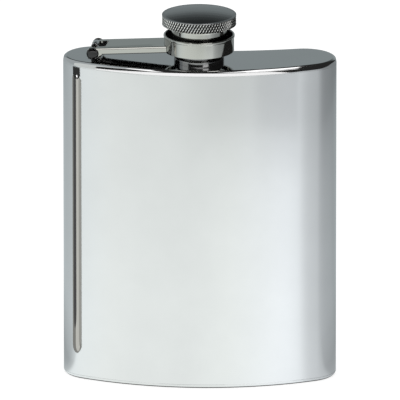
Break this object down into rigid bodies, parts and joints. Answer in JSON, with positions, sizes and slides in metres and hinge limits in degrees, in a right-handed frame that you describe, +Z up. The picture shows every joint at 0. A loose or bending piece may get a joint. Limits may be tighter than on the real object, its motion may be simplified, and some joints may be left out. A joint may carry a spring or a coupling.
{
  "type": "hip flask",
  "caption": "Curved pocket flask of polished sheet steel with a threaded neck and a knurled domed screw cap held captive in a collar on a hinged arm.",
  "frame": {"origin": "centre of the footprint's box, on the surface that the flask stands on", "axes": "+Z up along the height, +X along the width away from the hinge, +Y towards the concave back"},
  "size_m": [0.095, 0.0314, 0.133],
  "materials": {
    "polished_sheet": "mirror-polished stainless steel",
    "polished_plate": "mirror-polished stainless steel",
    "neck_steel": "mirror-polished stainless steel",
    "hinge_steel": "mirror-polished stainless steel",
    "arm_steel": "mirror-polished stainless steel",
    "collar_steel": "mirror-polished stainless steel",
    "cap_steel": "mirror-polished stainless steel",
    "liner": "smooth food-safe silicone"
  },
  "bodies": {
    "flask": {"front_panel": "polished_sheet", "back_panel": "polished_sheet", "top_plate": "polished_plate", "base_plate": "polished_plate", "neck": "neck_steel", "neck_flange": "neck_steel", "hinge_lug": "hinge_steel"},
    "pin": {"hinge_pin": "hinge_steel"},
    "arm": {"hinge_arm": "arm_steel", "collar": "collar_steel"},
    "cap": {"cap_head": "cap_steel", "cap_sleeve": "cap_steel", "retaining_ring": "hinge_steel", "cap_liner": "liner"}
  },
  "joints": [
    {"name": "pin_lift", "type": "slide", "parent": "flask", "child": "pin", "axis": [0, 0, 1], "range_m": [0, 0.0015]},
    {"name": "arm_swing", "type": "hinge", "parent": "pin", "child": "arm", "pos_m": [-0.03613, 0.00223, 0.1176], "axis": [-0.1219, -0.9925, 0], "range_deg": [0, 160]},
    {"name": "cap_spin", "type": "hinge", "parent": "arm", "child": "cap", "pos_m": [0, -0.00221, 0.125], "axis": [0, 0, 1], "range_deg": [0, 360]}
  ],
  "couplings": [
    {"joint": "pin_lift", "follows": "cap_spin", "m_per_rad": 0.0002387}
  ]
}
